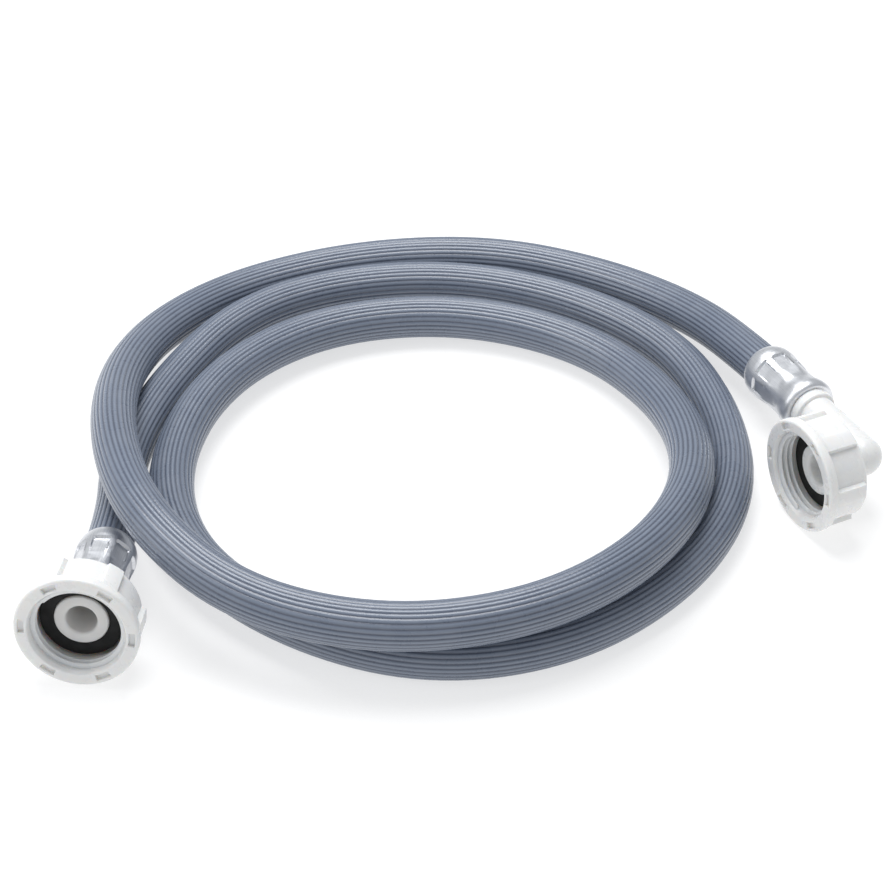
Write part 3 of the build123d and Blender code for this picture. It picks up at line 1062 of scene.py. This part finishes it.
@dataclass
class SwivelNut:
    """Free-turning nut: ribbed skirt, flange with cored slots, and a G 3/4 thread inside."""

    body: Body
    seat: Seat
    length: float = 14.5
    hole_radius: float = 6.58
    wall: float = 2.5
    skirt_radius: float = 15.75
    rib_radius: float = 17.15
    rib_count: int = 6
    rib_half_turn: float = 8.5
    rib_back: float = 1.6
    rib_rounding: float = 0.28
    skirt_middle: float = 6.5
    flange_radius: float = 17.7
    flange_back: float = 11.5
    root_radius: float = 13.3
    mouth_radius: float = 14.0
    mouth_depth: float = 1.3
    slot_inner: float = 14.65
    slot_outer: float = 16.5
    slot_half_turn: float = 8.2
    slot_depth: float = 1.0
    slot_reach: float = 10.0
    slot_rounding: float = 0.16
    crest_radius: float = 12.1
    pitch: float = 1.814
    thread_back: float = 8.4
    thread_turns: float = 2.4
    steps_each_turn: int = 90
    sides: int = 180

    def outline(self) -> list[tuple[float, float, float]]:
        """Section of the nut from its rear hole, over the flange, to its inside."""
        return [
            (self.hole_radius, 0, 0.3), (self.skirt_radius, 0, 1.0),
            (self.skirt_radius, self.rib_back - 0.55, 0), (self.skirt_radius, self.rib_back, 0),
            (self.skirt_radius, self.skirt_middle, 0), (self.skirt_radius, self.flange_back, 0),
            (self.flange_radius, self.flange_back, 0.5), (self.flange_radius, self.length, 0.8),
            (self.slot_outer, self.length, 0), (self.slot_inner, self.length, 0),
            (self.mouth_radius, self.length, 0.25),
            (self.root_radius, self.length - self.mouth_depth, 0.3),
            (self.root_radius, self.wall, 0.5), (self.hole_radius, self.wall, 0.2),
        ]

    def raise_ribs(self, bm: bmesh.types.BMesh) -> None:
        """Push the skirt out into ribs and round their edges."""
        for vert in bm.verts:
            radius = vert.co.xy.length
            on_skirt = abs(radius - self.skirt_radius) < 0.01
            along = self.rib_back - 0.01 < vert.co.z < self.flange_back + 0.01
            if on_skirt and along and off_sector(vert.co, self.rib_count) < self.rib_half_turn:
                vert.co.xy *= self.rib_radius / radius
        rims = [edge for edge in steep_edges(bm, 35)
                if all(self.skirt_radius - 0.1 < vert.co.xy.length < self.rib_radius + 0.1
                       and vert.co.z > 0.9 for vert in edge.verts)
                and any(abs(vert.co.xy.length - self.rib_radius) < 0.05 for vert in edge.verts)]
        soften(bm, rims, self.rib_rounding)

    def sink_slots(self, bm: bmesh.types.BMesh) -> None:
        """Sink the slots into the front face and round their rims."""
        for index in range(self.rib_count):
            near = sector_faces(bm, sector_middle(index, self.rib_count), self.slot_reach,
                                self.rib_count, self.slot_half_turn)
            faces = [face for face, centre in near
                     if abs(centre.z - self.length) < 0.01
                     and self.slot_inner < centre.xy.length < self.slot_outer]
            pulled = bmesh.ops.extrude_face_region(bm, geom=faces)["geom"]
            floor = [item for item in pulled if isinstance(item, bmesh.types.BMVert)]
            bmesh.ops.translate(bm, vec=(0, 0, -self.slot_depth), verts=floor)
            bmesh.ops.delete(bm, geom=faces, context="FACES")
        rims = [edge for edge in steep_edges(bm, 60)
                if all(abs(vert.co.z - self.length) < 0.01
                       and self.slot_inner - 0.2 < vert.co.xy.length < self.slot_outer + 0.2
                       for vert in edge.verts)]
        soften(bm, rims, self.slot_rounding)

    def thread(self) -> bmesh.types.BMesh:
        """One start of the thread's ridge, wound up the inside wall."""
        bm = bmesh.new()
        root, half = self.root_radius + 0.1, self.pitch / 2
        shape = [(root, -half + 0.1), (self.crest_radius + 0.12, -0.26), (self.crest_radius, -0.1),
                 (self.crest_radius, 0.1), (self.crest_radius + 0.12, 0.26), (root, half - 0.1)]
        corners = [bm.verts.new((radius, 0, self.thread_back + height)) for radius, height in shape]
        edges = [bm.edges.new(pair) for pair in zip(corners, corners[1:] + corners[:1])]
        steps = int(self.steps_each_turn * self.thread_turns)
        last = bmesh.ops.spin(bm, geom=corners + edges, cent=(0, 0, 0), axis=(0, 0, 1),
                              dvec=(0, 0, self.pitch * self.thread_turns / steps),
                              angle=math.tau * self.thread_turns, steps=steps)["geom_last"]
        ends = [corners, [item for item in last if isinstance(item, bmesh.types.BMVert)]]
        for end in ends:
            bmesh.ops.contextual_create(bm, geom=end)
            for vert in end:
                vert.co.xy *= root / vert.co.xy.length * 0.998
        bmesh.ops.recalc_face_normals(bm, faces=bm.faces)
        return bm

    def build(self) -> list[bpy.types.Object]:
        """Build and dress the nut and its thread.

        Returns:
            The nut and its thread.
        """
        bm = turn_outline(self.outline(), self.sides)
        self.raise_ribs(bm)
        self.sink_slots(bm)
        name = self.body.value
        shell = finish_mesh(f"{name}_shell", bm, self.seat)
        thread = finish_mesh(f"{name}_thread", self.thread(), self.seat)
        return [declare(shell, NUT_WHITE, self.body, name), declare(thread, NUT_WHITE, self.body)]


@dataclass
class HoseEnd:
    """Sleeve, spigot, seal and nut on one end of the hose."""

    name: str
    spigot: Spigot
    leg: Seat
    nut_body: Body
    nut_turn: float

    def build(self) -> list[bpy.types.Object]:
        """Build the end's pieces, the nose's own along its leg."""
        spigot = self.spigot
        ring_seat = self.leg.moved(spigot.nose_tip() - spigot.nose_length)
        nut_seat = self.leg.moved(spigot.nut_rear).turned(self.nut_turn)
        return [Sleeve(f"{self.name}_sleeve", f"{self.name}_ferrule", spigot.seat).build(),
                spigot.build(),
                SealRing(f"{self.name}_seal_ring", f"{self.name}_washer", ring_seat).build(),
                *SwivelNut(self.nut_body, nut_seat).build()]


# ---------------------------------------------------------------- studio
@dataclass
class Studio:
    """Pale floor, soft lights and the camera."""

    floor_side: float = 6.0
    floor_colour: Colour = (0.42, 0.42, 0.42)
    floor_glow: float = 0.64
    aim: Vector = field(default_factory=lambda: Vector((-0.0062, 0.042, 0.0)))
    distance: float = 0.6893
    elevation: float = 38.0
    lens: float = 86.6

    def lay_floor(self) -> None:
        """A broad matt floor with a glow of its own, as a light table has."""
        bm = bmesh.new()
        bmesh.ops.create_grid(bm, x_segments=1, y_segments=1, size=self.floor_side / 2)
        floor = finish_mesh("studio_floor", bm, None)
        paint = bpy.data.materials.new("Pale floor")
        paint.use_nodes = True
        shader = paint.node_tree.nodes["Principled BSDF"]
        shader.inputs["Base Color"].default_value = (*self.floor_colour, 1.0)
        shader.inputs["Roughness"].default_value = 0.9
        shader.inputs["Specular IOR Level"].default_value = 0.1
        shader.inputs["Emission Color"].default_value = (1.0, 1.0, 1.0, 1.0)
        shader.inputs["Emission Strength"].default_value = self.floor_glow
        floor.data.materials.append(paint)

    def hang_light(self, name: str, place: Sequence[float], side: float, power: float) -> None:
        """Hang a square soft light that faces the middle of the hose.

        Args:
            name: the light's name.
            place: where it hangs, in metres.
            side: its side, in metres.
            power: its power, in watts.
        """
        data = bpy.data.lights.new(name, "AREA")
        data.shape = "SQUARE"
        data.size = side
        data.energy = power
        light = bpy.data.objects.new(name, data)
        light.location = place
        light.rotation_euler = (self.aim - Vector(place)).to_track_quat("-Z", "Y").to_euler()
        bpy.context.scene.collection.objects.link(light)

    def light_room(self) -> None:
        """Even pale surroundings with a broad light overhead."""
        world = bpy.data.worlds.new("Studio air")
        world.use_nodes = True
        air = world.node_tree.nodes["Background"]
        air.inputs["Color"].default_value = (0.93, 0.96, 1.0, 1.0)
        air.inputs["Strength"].default_value = 0.50
        bpy.context.scene.world = world
        self.hang_light("overhead_softbox", (-0.12, 0.34, 0.95), 0.70, 9.6)
        self.hang_light("left_softbox", (-0.95, -0.15, 0.60), 0.6, 2.6)
        bpy.context.scene.view_settings.view_transform = "Standard"

    def set_camera(self) -> None:
        """A long lens, looking down on the hose."""
        data = bpy.data.cameras.new("camera")
        data.lens = self.lens
        data.sensor_width = 36.0
        data.clip_start, data.clip_end = 0.01, 20.0
        tilt = math.radians(self.elevation)
        back = Vector((0, -math.cos(tilt), math.sin(tilt)))
        camera = bpy.data.objects.new("camera", data)
        camera.location = self.aim + back * self.distance
        camera.rotation_euler = (-back).to_track_quat("-Z", "Y").to_euler()
        bpy.context.scene.collection.objects.link(camera)
        bpy.context.scene.camera = camera


def main() -> None:
    logging.basicConfig(level=logging.INFO, format="%(name)s: %(message)s")
    studio = Studio()
    studio.set_camera()
    studio.lay_floor()
    studio.light_room()
    hose = Hose()
    layers = hose.build()
    elbow_seat = Seat.on_run(ROUTE[0], ROUTE[1])
    straight_seat = Seat.on_run(ROUTE[-1], ROUTE[-2])
    elbow_spigot = ElbowSpigot("elbow_spigot", "elbow_tail", elbow_seat, ELBOW_NUT_REAR)
    straight_spigot = Spigot("straight_spigot", "straight_tail", straight_seat, STRAIGHT_NUT_REAR)
    HoseEnd("elbow", elbow_spigot, elbow_seat.side_leg(elbow_spigot.reach), Body.ELBOW_NUT,
            ELBOW_NUT_TURN).build()
    straight = HoseEnd("straight", straight_spigot, straight_seat, Body.STRAIGHT_NUT,
                       STRAIGHT_NUT_TURN).build()
    elbow_seat.moved(SLEEVE_BACK).origin
    round(hose.length(), 3)
    LOG.info("hose is %.3f m long", hose.length())


if __name__ == "__main__":
    main()
